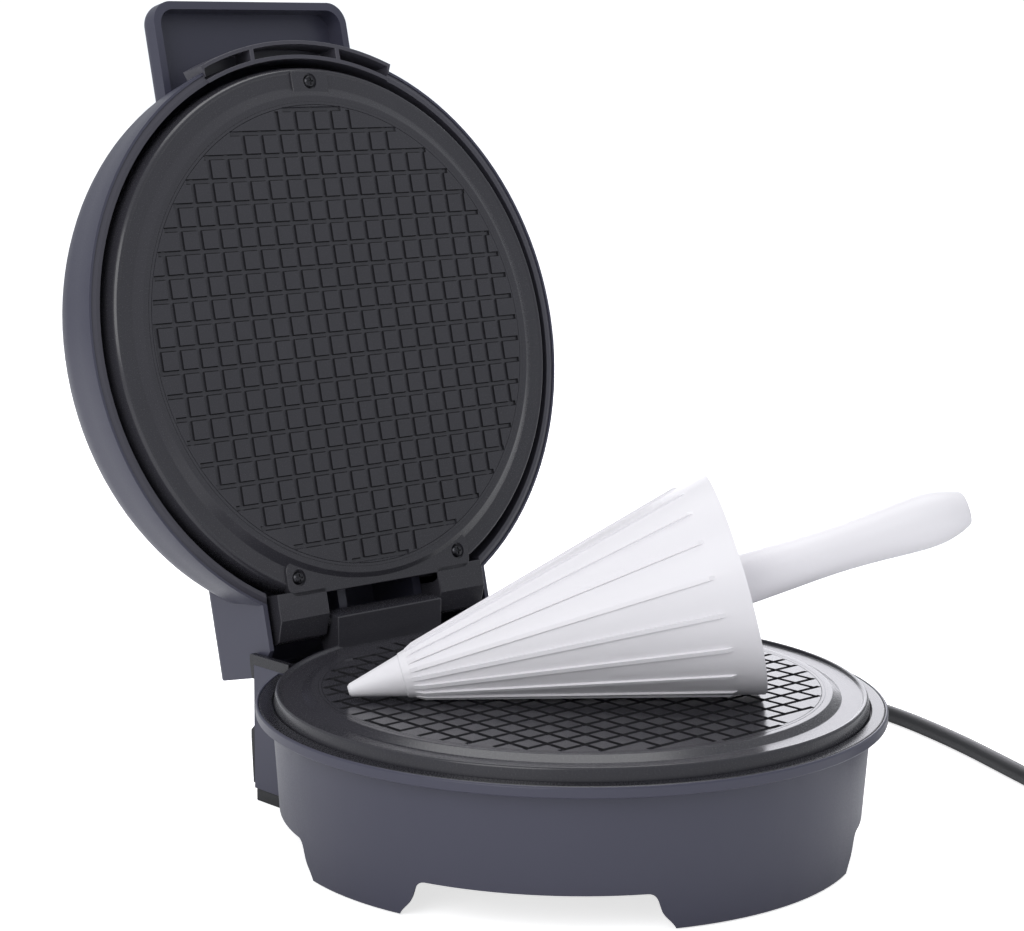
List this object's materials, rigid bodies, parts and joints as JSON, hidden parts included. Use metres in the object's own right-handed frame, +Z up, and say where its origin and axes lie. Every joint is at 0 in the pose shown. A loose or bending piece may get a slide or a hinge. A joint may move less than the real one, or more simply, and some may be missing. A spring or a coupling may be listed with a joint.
{
  "type": "waffle cone maker",
  "caption": "Round electric waffle cone maker standing open on a hinge, with patterned plates, a front grip and a ribbed cone roller lying on the lower plate.",
  "frame": {"origin": "on the floor, on the machine's left-right centre plane, under the middle of the whole open machine with its roller; the middle of the round base is at y = -0.0432 m", "axes": "+Z up, -Y to the front where the grip closes, +Y to the hinge and the standing lid, +X to the right seen from the front"},
  "size_m": [0.3952, 0.3953, 0.306],
  "materials": {
    "body_plastic": "fine satin grain",
    "black_plastic": "fine satin grain",
    "dark_trim": "satin",
    "pad_rubber": "matte",
    "screw_steel": "darkened zinc",
    "pin_steel": "ground",
    "nonstick": "non-stick coating on cast aluminium",
    "terminal_plastic": "moulded",
    "heater_sheath": "heat-tinted",
    "clamp_steel": "rolled",
    "reflector_aluminium": "bright",
    "thermostat_cap": "pressed cap on a dark body",
    "fuse_sleeve": "woven glass sleeve",
    "red_lens": "translucent",
    "green_lens": "translucent",
    "white_plastic": "moulded, semi-gloss",
    "cord_rubber": "satin",
    "blade_metal": "nickel plated"
  },
  "bodies": {
    "base": {"base_shell": "body_plastic", "base_floor": "black_plastic", "rubber_pads": "pad_rubber", "floor_screws": "screw_steel", "rear_feet": "black_plastic", "cord_bar": "black_plastic", "base_trim_ring": "dark_trim", "hinge_cover": "dark_trim", "lower_plate": "nonstick", "lower_plate_screws": "screw_steel", "hinge_pin": "pin_steel", "terminal_block": "terminal_plastic", "lower_heater": "heater_sheath", "lower_clamps": "clamp_steel", "lower_clamp_screws": "screw_steel", "lower_reflector": "reflector_aluminium", "lower_thermostat": "thermostat_cap", "lower_thermal_fuse": "fuse_sleeve", "strain_relief": "cord_rubber", "power_cord": "cord_rubber", "cord_coil": "cord_rubber", "cord_tail": "cord_rubber", "plug_body": "cord_rubber", "plug_blades": "blade_metal"},
    "lid": {"lid_shell": "body_plastic", "lid_frame": "dark_trim", "grip": "body_plastic", "upper_plate": "nonstick", "upper_plate_screws": "screw_steel", "power_light": "red_lens", "ready_light": "green_lens", "upper_heater": "heater_sheath", "upper_clamps": "clamp_steel", "upper_clamp_screws": "screw_steel", "upper_reflector": "reflector_aluminium", "upper_thermostat": "thermostat_cap", "upper_thermal_fuse": "fuse_sleeve"},
    "cone_roller": {"roller_cone": "white_plastic", "roller_handle": "white_plastic"}
  },
  "joints": [
    {"name": "lid_hinge", "type": "hinge", "parent": "base", "child": "lid", "pos_m": [0, 0.0681, 0.067], "axis": [1, 0, 0], "range_deg": [0, 103.8]},
    {"name": "roller_off", "type": "slide", "parent": "base", "child": "cone_roller", "axis": [0.7997, -0.6004, 0], "range_m": [0, 0.215]}
  ],
  "couplings": [
    {"joint": "roller_off", "follows": "lid_hinge", "m_per_rad": 0.1186}
  ]
}
